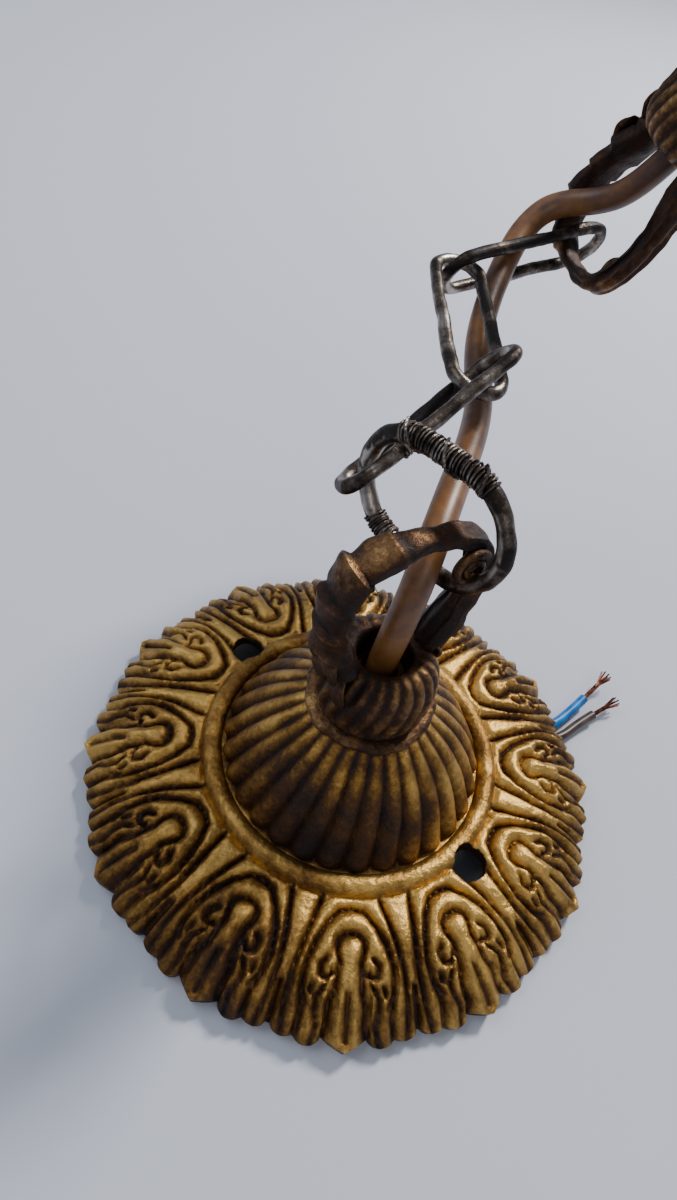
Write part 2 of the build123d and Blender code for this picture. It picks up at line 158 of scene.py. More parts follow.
leaf_grooves = [
    # the horseshoe round the top of the tongue, its ends curled outwards
    [(0.0, 39.2), (1.5, 39.6), (2.7, 41.0), (2.8, 42.8), (2.0, 44.8), (2.3, 46.8),
     (3.8, 47.7), (5.3, 46.8), (5.5, 45.0), (4.6, 44.2)],
    # the leaf's outer edge, from over the horseshoe down to the side lobes
    [(0.0, 34.6), (2.9, 35.3), (5.7, 38.0), (7.4, 41.8), (8.3, 46.0), (8.1, 50.0), (7.0, 52.0)],
    # the sides of the tongue and its vein
    [(2.3, 46.8), (2.3, 49.5), (3.1, 52.4), (2.9, 55.4), (3.7, 58.5)],
    [(0.0, 49.0), (0.0, 56.0)],
    # the lobes beside the tongue, one with an eye
    [(4.4, 49.0), (5.4, 50.4), (5.2, 52.4), (4.6, 54.6), (5.4, 58.5)],
    [(6.3, 48.6), (6.6, 50.0)],
    [(8.1, 50.0), (7.3, 53.6), (7.6, 58.5)],
    # the smooth wedge between one leaf and the next
    [(7.6, 33.0), (8.6, 36.6), (9.6, 41.4), (10.3, 47.0), (10.2, 52.4), (9.5, 58.5)],
    [(half_leaf, 50.5), (half_leaf, 58.5)],
]


def groove_distance(across, out):
    """Distance in mm from a place in a leaf to the nearest carved groove."""
    nearest = np.full_like(across, 99.0)
    for line in leaf_grooves:
        for (x0, y0), (x1, y1) in zip(line, line[1:]):
            dx, dy = x1 - x0, y1 - y0
            share = np.clip(((across - x0) * dx + (out - y0) * dy) / (dx * dx + dy * dy), 0, 1)
            nearest = np.minimum(nearest, np.hypot(across - x0 - share * dx, out - y0 - share * dy))
    return nearest


def rim_radius(across):
    """Edge of the skirt: a long pointed middle lobe and two round ones each side of it."""
    middle = 2.9 * np.clip(1 - np.abs(across) / MIDDLE_LOBE, 0, 1) ** 0.75
    sides = np.zeros_like(across)
    for place, reach, width in ((5.7, 2.2, 2.1), (9.4, 1.5, 1.9)):
        beside = (np.abs(across) - place) / width
        sides = np.maximum(sides, reach * np.sqrt(np.clip(1 - beside ** 2, 0, 1)))
    return 54.6 + np.maximum(middle, sides)


# The casting's section as (radius, height), from the hole in its top, over the dome, the ring
# and the skirt, and back along its hollow underside
dome_line = [
    (5.1, 31.9), (9.0, 32.0), (12.0, 31.9), (13.4, 31.2), (15.2, 29.9), (17.5, 28.0),
    (19.6, 26.1), (21.4, 24.1), (23.0, 22.1), (24.3, 20.1), (25.4, 18.1), (26.4, 16.1),
    (27.2, 14.5), (27.9, 13.2), (28.1, 12.4), (27.7, 11.7),
]
ring_line = [
    (30.3 - 2.15 * math.cos(a), 11.4 + 2.1 * math.sin(a))
    for a in np.linspace(0.15, math.pi - 0.3, 11)
]
skirt_line = []
for out in np.linspace(SKIRT_START, 57.5, 58):
    fall = (out - SKIRT_START) / SKIRT_REACH
    skirt_line.append((out, 11.2 - 1.1 * fall - 6.9 * fall ** 3.2))
under_line = [
    (57.1, 0.0), (55.6, 0.0), (54.2, 1.9), (51.0, 5.2), (46.0, 7.4), (38.0, 8.7),
    (30.0, 9.3), (26.0, 9.6), (24.6, 10.5), (24.1, 14.0), (22.2, 19.0), (19.0, 23.6),
    (15.2, 27.2), (12.0, 29.7), (8.0, 29.8), (5.1, 29.8),
]
fine_dome = []
for (r0, z0), (r1, z1) in zip(dome_line, dome_line[1:]):
    fine_dome += [(r0 + (r1 - r0) * k / 2, z0 + (z1 - z0) * k / 2) for k in range(2)]
profile = np.array(fine_dome + dome_line[-1:] + ring_line + skirt_line + under_line)
dome_rows = len(fine_dome) + 1
ring_rows = dome_rows + len(ring_line)
skirt_rows = ring_rows + len(skirt_line)

bpy.ops.object.select_all(action="DESELECT")
bpy.ops.mesh.primitive_grid_add(x_subdivisions=AROUND, y_subdivisions=len(profile) - 1, size=2)
canopy = bpy.context.object
canopy.name = "canopy_casting"
flat = np.empty(len(canopy.data.vertices) * 3)
canopy.data.vertices.foreach_get("co", flat)
flat = flat.reshape(-1, 3)
turn = (flat[:, 0] + 1) / 2 * 2 * math.pi
row = np.rint((flat[:, 1] + 1) / 2 * (len(profile) - 1)).astype(int)
radius = profile[row, 0].copy()
height = profile[row, 1].copy()
wear_and_painted_shade = np.zeros(len(row))

# Carve the skirt: the grooves cut in, the ground between them swells, and the edge is lobed
leaf_turn = turn - LEAF_TURN + math.pi / LEAVES
in_leaf = leaf_turn % (2 * math.pi / LEAVES) - math.pi / LEAVES
across = LEAF_RADIUS * in_leaf
leaf_number = np.floor(leaf_turn / (2 * math.pi / LEAVES)).astype(int) % LEAVES
skirt = (row >= ring_rows) & (row < skirt_rows)
down_skirt = np.clip((radius - SKIRT_START) / SKIRT_REACH, 0, 1)
edge = rim_radius(across)
stretched = SKIRT_START + (edge + 0.3 - SKIRT_START) * down_skirt
rim = (row >= skirt_rows) & (radius > 50)
radius = np.where(skirt, stretched, np.where(rim, radius * (edge / 57.3), radius))
wander = 0.35 * np.sin(leaf_number * 2.1) + 0.25 * np.sin(radius * 0.23 + leaf_number)
groove_out = np.where(skirt, SKIRT_START + SKIRT_REACH * down_skirt, 0.0)
groove = groove_distance(np.abs(across + wander * down_skirt), groove_out)
cut_in = np.exp(-((groove / 0.45) ** 2))
swell = 1 - np.exp(-((groove / 1.3) ** 2))
pillow = 0.9 * np.cos(across / half_leaf * math.pi / 2) * np.sin(down_skirt * math.pi)
tip_droop = 0.5 * (1 - np.clip(1 - np.abs(across) / MIDDLE_LOBE, 0, 1)) * down_skirt ** 4
slope_in, slope_up = 0.12 + 0.3 * down_skirt ** 2, 0.97 - 0.2 * down_skirt ** 2
fade = np.clip(down_skirt / 0.04, 0, 1)
hatching = np.cos(across * 4.6 + 0.9 * np.sin(radius * 0.5))
veins = 0.16 * hatching * swell * np.clip(down_skirt * 2 - 0.5, 0, 1)
lift = (1.05 * swell - 1.0 * cut_in + 0.75 * pillow + veins - 0.4) * fade - tip_droop
radius += np.where(skirt, lift * slope_in * np.clip(1.6 - down_skirt * 1.5, 0, 1), 0)
height += np.where(skirt, lift * slope_up, 0)
height = np.where(skirt, np.maximum(height, 0.35), height)
# Painted shade: the front of the skirt, turned away from the light, is darkened, more towards the
# rim. The rest is real rubbing: ground and ridges bright, grooves dark with patina.
painted_shade_front = np.exp(-(((turn - math.radians(248)) / 0.75) ** 2))
rubbed = (1 - cut_in) * (0.75 + 0.3 * swell + 1.2 * veins) * (1 - 0.45 * painted_shade_front * down_skirt)
wear_and_painted_shade = np.where(skirt, rubbed, wear_and_painted_shade)

# Flute the dome, the flutes leaning a little, and leave the ring plain
dome = row < dome_rows
phase = (turn * FLUTES / (2 * math.pi) - 0.5 * (height - 12) / 20) % 1 - 0.5
crest = 1 - (2 * phase) ** 2
share = np.clip((radius - 12.2) / 3.0, 0, 1) * np.clip((height - 11.2) / 1.2, 0.35, 1)
fluted = radius - 1.75 * (1 - crest) * share * np.clip(radius / 26, 0.45, 1)
radius = np.where(dome, fluted, radius)
# Painted shade: the front of the dome below its top, turned away from the light, is darkened. The
# flute crests are lighter where rubbed.
painted_shade_dome = np.exp(-(((turn - math.radians(268)) / 0.85) ** 2)) * np.clip((29 - height) / 8, 0, 1)
wear_and_painted_shade = np.where(dome, crest * (0.85 - 0.95 * painted_shade_dome), wear_and_painted_shade)
ring = (row >= dome_rows) & (row < ring_rows)
wear_and_painted_shade = np.where(ring, 0.75, wear_and_painted_shade)

# Sand-cast unevenness, fine all over the outside and coarser on the ring and skirt
x, y = radius * np.cos(turn), radius * np.sin(turn)
places = list(zip(x, y, height))
grain = np.array([noise.noise(Vector((a * 0.9, b * 0.9, c * 0.9))) for a, b, c in places])
lumps = np.array([noise.noise(Vector((a * 0.22, b * 0.22, c * 0.22))) for a, b, c in places])
uneven = height + 0.13 * grain + 0.28 * lumps * (ring | skirt)
height = np.where((row < skirt_rows) & (height > 0.5), uneven, height)
height = np.maximum(height, 0.0)
canopy.data.vertices.foreach_set("co", (np.stack([x, y, height], axis=1) * MM).ravel())
# On the canopy the wear values hold real rubbing and also painted shade on its front.
wear = canopy.data.attributes.new("wear", "FLOAT", "POINT")
wear.data.foreach_set("value", wear_and_painted_shade)
bpy.ops.object.mode_set(mode="EDIT")
bpy.ops.mesh.select_all(action="SELECT")
bpy.ops.mesh.remove_doubles(threshold=0.000002)
bpy.ops.mesh.select_all(action="DESELECT")
bpy.ops.mesh.select_non_manifold()
bpy.ops.mesh.bridge_edge_loops()
bpy.ops.mesh.select_all(action="SELECT")
bpy.ops.mesh.normals_make_consistent(inside=False)
bpy.ops.object.mode_set(mode="OBJECT")


def cut_away(name, tool):
    """Cut the tool's shape out of the canopy and delete the tool."""
    cut = canopy.modifiers.new(name, "BOOLEAN")
    cut.operation = "DIFFERENCE"
    cut.solver = "MANIFOLD"
    cut.object = tool
    bpy.context.view_layer.objects.active = canopy
    bpy.ops.object.modifier_apply(modifier=cut.name)
    bpy.data.objects.remove(tool)


# Two screw holes through the skirt, and the notch in its rim that lets the cores out
SCREW_CIRCLE = 0.0343
for turn_deg in (146.0, 326.0):
    angle = math.radians(turn_deg)
    place = (SCREW_CIRCLE * math.cos(angle), SCREW_CIRCLE * math.sin(angle), 0.01)
    bpy.ops.object.select_all(action="DESELECT")
    bpy.ops.mesh.primitive_cylinder_add(vertices=48, radius=3.6 * MM, depth=0.04, location=place)
    cut_away("screw_hole", bpy.context.object)
NOTCH_OUT = 0.0545
notch_angle = math.radians(27.4)
place = (NOTCH_OUT * math.cos(notch_angle), NOTCH_OUT * math.sin(notch_angle), 0.0)
bpy.ops.object.select_all(action="DESELECT")
bpy.ops.mesh.primitive_cube_add(size=1.0, location=place, rotation=(0.0, 0.0, notch_angle),
                                scale=(0.016, 0.009, 0.0058))
cut_away("core_notch", bpy.context.object)
bpy.ops.object.select_all(action="DESELECT")
canopy.select_set(True)
bpy.context.view_layer.objects.active = canopy
bpy.ops.object.shade_smooth_by_angle(angle=math.radians(50))


def patina(name, steps, lean, coarse):
    """Cast brass material: `steps` colour it from hollow to rubbed crest, `lean` darkens it all."""
    material, tree, shader = new_material(name)
    place = add_node(tree, "ShaderNodeTexCoord").outputs["Object"]
    rubbed = add_node(tree, "ShaderNodeAttribute", attribute_name="wear").outputs["Fac"]
    blotch = add_node(tree, "ShaderNodeTexNoise", {"Vector": place},
                      in_Scale=coarse, in_Detail=5.0, in_Roughness=0.62)
    speck = add_node(tree, "ShaderNodeTexNoise", {"Vector": place},
                     in_Scale=900.0, in_Detail=4.0, in_Roughness=0.7)
    tarnish = add_node(tree, "ShaderNodeTexNoise", {"Vector": place},
                       in_Scale=170.0, in_Detail=6.0, in_Roughness=0.65)
    height = add_node(tree, "ShaderNodeMath", {0: rubbed},
                      operation="MULTIPLY_ADD", in_1=0.5, in_2=-0.62 - lean)
    mixed = add_node(tree, "ShaderNodeMath", {0: blotch.outputs["Fac"], 2: height.outputs[0]},
                     operation="MULTIPLY_ADD", in_1=0.9)
    salted = add_node(tree, "ShaderNodeMath", {0: speck.outputs["Fac"], 2: mixed.outputs[0]},
                      operation="MULTIPLY_ADD", in_1=0.45)
    aged = add_node(tree, "ShaderNodeMath", {0: tarnish.outputs["Fac"], 2: salted.outputs[0]},
                    operation="MULTIPLY_ADD", in_1=0.7)
    colour = colour_steps(add_node(tree, "ShaderNodeValToRGB", {"Fac": aged.outputs[0]}), steps)
    tree.links.new(colour.outputs["Color"], shader.inputs["Base Color"])
    shine = add_node(tree, "ShaderNodeMapRange", {"Value": aged.outputs[0]},
                     in_1=0.15, in_2=0.85, in_3=0.6, in_4=0.38)
    tree.links.new(shine.outputs["Result"], shader.inputs["Roughness"])
    metal = add_node(tree, "ShaderNodeMapRange", {"Value": aged.outputs[0]},
                     in_1=0.2, in_2=0.55, in_3=0.45, in_4=0.95)
    tree.links.new(metal.outputs["Result"], shader.inputs["Metallic"])
    sand = add_node(tree, "ShaderNodeBump", {"Height": speck.outputs["Fac"]},
                    in_Strength=0.85, in_Distance=0.00035)
    tree.links.new(sand.outputs["Normal"], shader.inputs["Normal"])
    return material


# Old cast brass: gilt where hands and polish have rubbed it, brown and purple black in the
# hollows, with dull dark patches, and a fine sandy grain of about 0.4 mm. On the canopy its wear
# values also carry painted shade, darker on the front.
gilt_steps = [(0.1, "#100b0b"), (0.3, "#2a1c17"), (0.5, "#553a24"), (0.68, "#876331"),
              (0.92, "#c39c55")]
old_brass = patina("old_cast_brass", gilt_steps, 0.03, 40.0)
canopy.data.materials.clear()
canopy.data.materials.append(old_brass)
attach(canopy, "canopy")
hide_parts("canopy_plate")

# Threaded tube, washer and nut under the dome: the drawn brass tube runs down from the hub
# through the dome's top, and a steel washer and hexagon nut pull the casting tight to it.
thread_pitch = 1.0 * MM
crown_axis = Vector((0.405, -0.015, 0.914)).normalized()
for node, tube_axis in (("canopy_tube", Vector((0, 0, 1))), ("crown_tube", crown_axis)):
    # Drawn brass tube with a fine thread cut along it, tarnished in the grooves
    material, tree, shader = new_material(node + "_threaded_brass")
    shader.inputs["Metallic"].default_value = 1.0
    shader.inputs["Roughness"].default_value = 0.42
    place = add_node(tree, "ShaderNodeTexCoord").outputs["Object"]
    upright = add_node(tree, "ShaderNodeMapping", {"Vector": place},
                       in_Rotation=tube_axis.rotation_difference(Vector((0, 0, 1))).to_euler())
    dirt = add_node(tree, "ShaderNodeTexNoise", {"Vector": place}, in_Scale=220.0, in_Detail=5.0)
    colour = colour_steps(add_node(tree, "ShaderNodeValToRGB", {"Fac": dirt.outputs["Fac"]}),
                          [(0.3, "#3a2a1c"), (0.6, "#76592f"), (0.8, "#9a7a44")])
    tree.links.new(colour.outputs["Color"], shader.inputs["Base Color"])
    thread = add_node(tree, "ShaderNodeTexWave", {"Vector": upright.outputs["Vector"]},
                      wave_type="BANDS", bands_direction="Z", in_Scale=0.314 / thread_pitch)
    groove = add_node(tree, "ShaderNodeBump", {"Height": thread.outputs["Fac"]},
                      in_Strength=0.6, in_Distance=0.0004)
    tree.links.new(groove.outputs["Normal"], shader.inputs["Normal"])
    for slot_of_node in bpy.data.objects[node].material_slots:
        slot_of_node.material = material

material, tree, shader = new_material("dull_zinc_plated_steel")
shader.inputs["Metallic"].default_value = 0.9
place = add_node(tree, "ShaderNodeTexCoord").outputs["Object"]
dulled = add_node(tree, "ShaderNodeTexNoise", {"Vector": place}, in_Scale=260.0, in_Detail=5.0)
colour = colour_steps(add_node(tree, "ShaderNodeValToRGB", {"Fac": dulled.outputs["Fac"]}),
                      [(0.32, "#3a352f"), (0.55, "#7a756c"), (0.75, "#a09b92")])
tree.links.new(colour.outputs["Color"], shader.inputs["Base Color"])
bright = add_node(tree, "ShaderNodeMapRange", {"Value": dulled.outputs["Fac"]},
                  in_1=0.3, in_2=0.7, in_3=0.6, in_4=0.32)
tree.links.new(bright.outputs["Result"], shader.inputs["Roughness"])
nut_steel = material
for node in ("canopy_washer", "canopy_nut"):
    for slot_of_node in bpy.data.objects[node].material_slots:
        slot_of_node.material = nut_steel

# Neck collar: a thin brass flange between the dome and the hub, turned and then beaten down
# by hand, so that its edge is ragged. The tube runs through it and holds it there.


def roughen(points, size, depth, seed):
    """Move points in mm by a smooth noise whose lumps are `size` mm across and `depth` high."""
    shift = Vector((seed * 7.1, seed * 3.3, seed * 5.7))
    moved = [Vector(p) + noise.noise_vector(Vector(p) / size + shift) * depth for p in points]
    return [tuple(p) for p in moved]


def skin(name, rings, closed, wear, finish, stand=None):
    """Mesh through equal rings of points in mm, capped unless the rings close on themselves.

    `stand` is the matrix that turns and moves it into place."""
    count, around = len(rings), len(rings[0])
    points = [p for ring in rings for p in ring]
    faces = []
    for i in range(count if closed else count - 1):
        a, b = i * around, (i + 1) % count * around
        faces += [(a + j, a + (j + 1) % around, b + (j + 1) % around, b + j)
                  for j in range(around)]
    mesh = bpy.data.meshes.new(name)
    if not closed:
        for i in (0, count - 1):
            middle = tuple(sum(p[k] for p in rings[i]) / around for k in range(3))
            points.append(middle)
            a = i * around
            faces += [(a + j, a + (j + 1) % around, len(points) - 1) for j in range(around)]
    if stand is not None:
        points = [tuple(stand @ Vector(p)) for p in points]
    mesh.from_pydata([tuple(v * MM for v in p) for p in points], [], faces)
    values = wear + [0.0] * (len(points) - len(wear))
    mesh.attributes.new("wear", "FLOAT", "POINT").data.foreach_set("value", values)
    piece = bpy.data.objects.new(name, mesh)
    bpy.context.scene.collection.objects.link(piece)
    bpy.ops.object.select_all(action="DESELECT")
    bpy.context.view_layer.objects.active = piece
    piece.select_set(True)
    bpy.ops.object.mode_set(mode="EDIT")
    bpy.ops.mesh.select_all(action="SELECT")
    bpy.ops.mesh.normals_make_consistent(inside=False)
    bpy.ops.object.mode_set(mode="OBJECT")
    bpy.ops.object.shade_smooth_by_angle(angle=math.radians(55))
    mesh.materials.append(finish)
    return piece


def round_rings(line, radii, sides):
    """Rings of points round a line, turning as little as they can from one to the next."""
    line = [Vector(p) for p in line]
    count = len(line)
    rings = []
    side = None
    for i, p in enumerate(line):
        before = line[i - 1] if i else p
        after = line[i + 1] if i < count - 1 else p
        along = (after - before).normalized()
        if side is None:
            side = along.orthogonal().normalized()
        side = (side - along * side.dot(along)).normalized()
        other = along.cross(side)
        r = radii[i] if isinstance(radii, (list, tuple)) else radii
        turns = [2 * math.pi * j / sides for j in range(sides)]
        rings.append([tuple(p + (side * math.cos(a) + other * math.sin(a)) * r) for a in turns])
    return rings


COLLAR_SIDES = 96
collar_profile = [(5.2, 32.05), (9.0, 32.05), (12.4, 32.0), (13.1, 32.4), (13.2, 32.9),
                  (12.7, 33.5), (11.6, 33.75), (9.6, 33.8), (5.2, 33.8)]
collar_turns = np.linspace(0, 2 * math.pi, COLLAR_SIDES + 1)[:-1]
collar_rings = []
for r, z in collar_profile:
    ragged = [r + (0.28 * math.sin(5 * a + 1) + 0.18 * math.sin(13 * a)) * (r > 11)
              for a in collar_turns]
    collar_rings.append([(q * math.cos(a), q * math.sin(a), z)
                         for q, a in zip(ragged, collar_turns)])
# The same cast brass left unpolished, nearly black in its hollows and bronze where touched
dark_steps = [(0.1, "#0e0a0a"), (0.34, "#241916"), (0.52, "#453024"), (0.7, "#76583a"),
              (0.9, "#b9955a")]
dark_bronze = patina("darkened_cast_brass", dark_steps, 0.1, 60.0)
collar_wear = [0.5] * (len(collar_profile) * COLLAR_SIDES)
collar = skin("beaten_collar", collar_rings, True, collar_wear, dark_bronze)
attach(collar, "canopy")
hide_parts("neck_collar")

# Yokes: one brass casting each, a slant-reeded hub with a bow over its mouth. Leaves climb
# the outer face of one arm in layers, the other arm is reeded, and a scroll curls on its
# shoulder. One stands on the canopy and its twin hangs upside down in the chain, on the lamp.
REEDS = 22
REED_START = 7.2
HUB_SIDES = 176
BOW_SIDES = 40
SCROLL_STEPS = 45
LEAF_SIDES = 14
hub_profile = [
    (5.35, 6.0), (5.3, 9.5), (5.3, 12.6), (5.5, 13.7), (6.1, 14.2), (7.6, 14.2), (9.0, 13.7),
    (10.1, 12.8), (10.9, 11.6), (11.5, 10.2), (11.8, 8.6), (11.9, 7.0), (11.8, 5.4),
    (11.8, 3.9), (11.7, 2.6), (11.5, 1.6), (11.3, 1.0), (11.0, 0.1), (9.0, 0.0), (5.35, 0.0),
]
bow_points = [(-7.6, 10.5), (-12.2, 20.4), (-14.5, 30.0), (-12.6, 40.4), (-4.5, 43.3),
              (4.5, 43.3), (12.6, 40.4), (14.5, 30.0), (12.2, 20.4), (7.6, 10.5)]
# Leaves on the arms: x, y and z of the middle, length, spread and lean, all in mm. A leaf is
# at most 1.1 times its spread wide, and the lean is half of what its tip moves sideways.
arm_leaves = [
    (-10.6, -3.6, 11.6, 8.0, 5.2, 0.25), (-10.6, 3.6, 11.6, 8.0, 5.2, -0.25),
    (-13.0, -3.2, 19.5, 7.6, 4.8, 0.35), (-13.0, 3.2, 19.5, 7.6, 4.8, -0.35),
    (9.4, -2.6, 13.0, 4.0, 2.8, 0.2), (9.4, 2.6, 13.0, 4.0, 2.8, -0.2),
]


def ramp_up(value):
    """The value held between 0 and 1."""
    return max(0.0, min(1.0, value))


def hump(value, middle, width):
    """A smooth rise to 1 round `middle`."""
    return math.exp(-((value - middle) / width) ** 2)


def make_yoke(name, seat, x_way, z_way, node, body):
    """Cast one yoke: its hub stands on `seat` along `z_way` and its bow lies along `x_way`."""
    z_way = Vector(z_way).normalized()
    x_way = Vector(x_way)
    x_way = (x_way - z_way * x_way.dot(z_way)).normalized()
    y_way = z_way.cross(x_way)
    turn = Matrix((x_way, y_way, z_way)).transposed().to_4x4()
    stand = Matrix.Translation(seat) @ turn
    rings, wear = [], []
    for r, z in hub_profile:
        ring = []
        for j in range(HUB_SIDES):
            a = 2 * math.pi * j / HUB_SIDES
            phase = (a * REEDS / (2 * math.pi) - 0.08 * z) % 1
            crest = 1 - abs(2 * phase - 1) ** 1.7
            depth = 0.95 * ramp_up((r - REED_START) / 2.0) * (z > 1.2)
            q = r - depth * (1 - crest)
            ring.append((q * math.cos(a), q * math.sin(a), z))
            wear.append(0.75 * crest if depth else 0.35)
        rings.append(roughen(ring, 2.2, 0.15, 1))
    body_piece = skin(name + "_hub", rings, True, wear, dark_bronze, stand)

    # The bow's middle line, smooth between the halfway points of its control points
    corners = [Vector((x, 0, z)) for x, z in bow_points]
    halfway = [(p + q) / 2 for p, q in zip(corners[1:-2], corners[2:-1])]
    mids = [corners[0]] + halfway + [corners[-1]]
    line = []
    for i, (a, c) in enumerate(zip(mids, mids[1:])):
        b = corners[i + 1]
        line += [a * (1 - t) ** 2 + b * 2 * t * (1 - t) + c * t * t
                 for t in np.linspace(0, 1, 15)[:-1]]
    line.append(mids[-1])
    run = [0.0]
    for a, b in zip(line, line[1:]):
        run.append(run[-1] + (b - a).length)
    rings, wear = [], []
    for i, p in enumerate(line):
        along = (line[min(i + 1, len(line) - 1)] - line[max(i - 1, 0)]).normalized()
        outward = Vector((-along.z, 0, along.x))
        if outward.dot(Vector((p.x, 0, p.z - 24))) < 0:
            outward = -outward
        s = run[i] / run[-1]
        leafy = ramp_up((0.5 - s) / 0.08) * ramp_up(s / 0.05)
        reeded = ramp_up((s - 0.62) / 0.06)
        leaf = ((run[i] / 6.4) % 1) ** 1.4
        knee = hump(s, 0.1, 0.07) + 0.8 * hump(s, 0.9, 0.06)
        worn_thin = hump(s, 0.5, 0.11)
        thick = 1.9 + 0.75 * knee - 0.25 * worn_thin
        wide = 2.6 + 1.25 * hump(s, 0.3, 0.18) + 0.25 * hump(s, 0.62, 0.14)
        wide = wide + 1.1 * knee - 0.55 * worn_thin
        ring = []
        for j in range(BOW_SIDES):
            a = 2 * math.pi * j / BOW_SIDES
            c, d = math.cos(a), math.sin(a)
            c = math.copysign(abs(c) ** 0.8, c)
            d = math.copysign(abs(d) ** 0.8, d)
            facing = max(0.0, math.cos(a))
            reed = math.cos(7 * a)
            lobe = leafy * (1.35 * leaf * facing ** 0.6 - 0.25 * abs(math.sin(2.5 * a)))
            side_lobe = leafy * 0.9 * leaf * abs(d) + 0.35 * reeded * reed
            vein = 0.5 * math.cos(5 * a + 6 * s) * (1 - leafy) * (1 - reeded) * (1 - worn_thin)
            proud = c * thick + lobe + 0.8 * vein + 0.4 * reeded * reed
            sideways = d * (wide + side_lobe + vein)
            ring.append(tuple(p + outward * proud + Vector((0, 1, 0)) * sideways))
            shown = 0.4 * facing * (leaf if leafy > 0.4 else 0.8)
            wear.append(min(1.0, 0.15 + shown + 0.3 * hump(s, 0.38, 0.05) * facing))
        rings.append(roughen(ring, 3.0, 0.45, 2))
    bow = skin(name + "_bow", rings, False, wear, dark_bronze, stand)

    scroll = []
    thin = [0.5 + 0.5 * (1 - k / SCROLL_STEPS) for k in range(SCROLL_STEPS + 1)]
    for k in range(SCROLL_STEPS + 1):
        a = k / SCROLL_STEPS * 3.6 * math.pi + 0.6
        r = 3.3 * (1 - k / SCROLL_STEPS * 0.78)
        sunk = -3.0 - 0.9 * k / SCROLL_STEPS
        scroll.append((9.3 + r * math.cos(a), sunk, 37.0 + r * math.sin(a)))
    scroll_rings = round_rings(scroll, thin, 10)
    scroll_wear = [0.6] * (10 * len(scroll_rings))
    curl = skin(name + "_scroll", scroll_rings, False, scroll_wear, dark_bronze, stand)
    pieces = [body_piece, bow, curl]
    for x, y, z, reach, spread, lean in arm_leaves:
        leaf_rings, leaf_wear = [], []
        for k in range(LEAF_SIDES):
            t = k / (LEAF_SIDES - 1)
            half = spread * math.sin(math.pi * min(1, 0.12 + 0.88 * t)) ** 0.7 + 0.1
            lift = 1.1 * math.sin(math.pi * t)
            ring = []
            for j in range(LEAF_SIDES):
                a = 2 * math.pi * j / LEAF_SIDES
                proud = math.copysign(lift + 0.95 * math.sin(a) * (1 - 0.6 * t), x)
                aside = y + half * 0.55 * math.cos(a) + lean * 2 * t
                ring.append((x + proud, aside, z - reach / 2 + reach * t))
                leaf_wear.append(0.3 + 0.5 * abs(math.cos(a)) * t)
            leaf_rings.append(roughen(ring, 2.0, 0.3, 3))
        leaf_name = name + "_leaf_%d" % len(pieces)
        pieces.append(skin(leaf_name, leaf_rings, False, leaf_wear, dark_bronze, stand))
    bpy.ops.object.select_all(action="DESELECT")
    for piece in pieces:
        piece.select_set(True)
    bpy.context.view_layer.objects.active = body_piece
    bpy.ops.object.join()
    body_piece.name = name
    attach(body_piece, body)
    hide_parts(node)


yoke_turn = math.radians(38.0)
canopy_way = (math.cos(yoke_turn), math.sin(yoke_turn), 0.0)
make_yoke("canopy_yoke_casting", (0.0, 0.0, 33.8), canopy_way, (0.0, 0.0, 1.0),
          "canopy_yoke", "canopy")
crown_bow = Vector((22.967, 100.894, 81.531))
YOKE_HEIGHT = 43.4
make_yoke("crown_yoke_casting", crown_bow + crown_axis * YOKE_HEIGHT, (0.363, -0.915, -0.176),
          -crown_axis, "crown_yoke", "crown")

# Chain links: iron wire bent round and closed by hand, black with oxide, hammered a little
# flat here and there, and bare grey where the links have rubbed for years.
material, tree, shader = new_material("oxidised_iron_wire")
place = add_node(tree, "ShaderNodeTexCoord").outputs["Object"]
scale = add_node(tree, "ShaderNodeTexNoise", {"Vector": place},
                 in_Scale=190.0, in_Detail=6.0, in_Roughness=0.62)
pits = add_node(tree, "ShaderNodeTexNoise", {"Vector": place},
                in_Scale=900.0, in_Detail=4.0, in_Roughness=0.7)
rubbed = add_node(tree, "ShaderNodeAttribute", attribute_name="wear").outputs["Fac"]
bare = add_node(tree, "ShaderNodeMath", {0: rubbed, 2: scale.outputs["Fac"]},
                operation="MULTIPLY_ADD", in_1=0.34)
speckled = add_node(tree, "ShaderNodeMath", {0: pits.outputs["Fac"], 2: bare.outputs[0]},
                    operation="MULTIPLY_ADD", in_1=0.3)
bared = add_node(tree, "ShaderNodeMath", {0: speckled.outputs[0]}, operation="SUBTRACT", in_1=0.16)
colour = colour_steps(add_node(tree, "ShaderNodeValToRGB", {"Fac": bared.outputs[0]}),
                      [(0.36, "#120f0e"), (0.52, "#2b2320"), (0.68, "#5f554e"), (0.88, "#a59d95")])
tree.links.new(colour.outputs["Color"], shader.inputs["Base Color"])
shine = add_node(tree, "ShaderNodeMapRange", {"Value": bared.outputs[0]},
                 in_1=0.35, in_2=0.85, in_3=0.58, in_4=0.3)
tree.links.new(shine.outputs["Result"], shader.inputs["Roughness"])
metal = add_node(tree, "ShaderNodeMapRange", {"Value": bared.outputs[0]},
                 in_1=0.35, in_2=0.55, in_3=0.5, in_4=1.0)
tree.links.new(metal.outputs["Result"], shader.inputs["Metallic"])
pitted = add_node(tree, "ShaderNodeBump", {"Height": pits.outputs["Fac"]},
                  in_Strength=0.5, in_Distance=0.0003)
tree.links.new(pitted.outputs["Normal"], shader.inputs["Normal"])
iron_wire = material

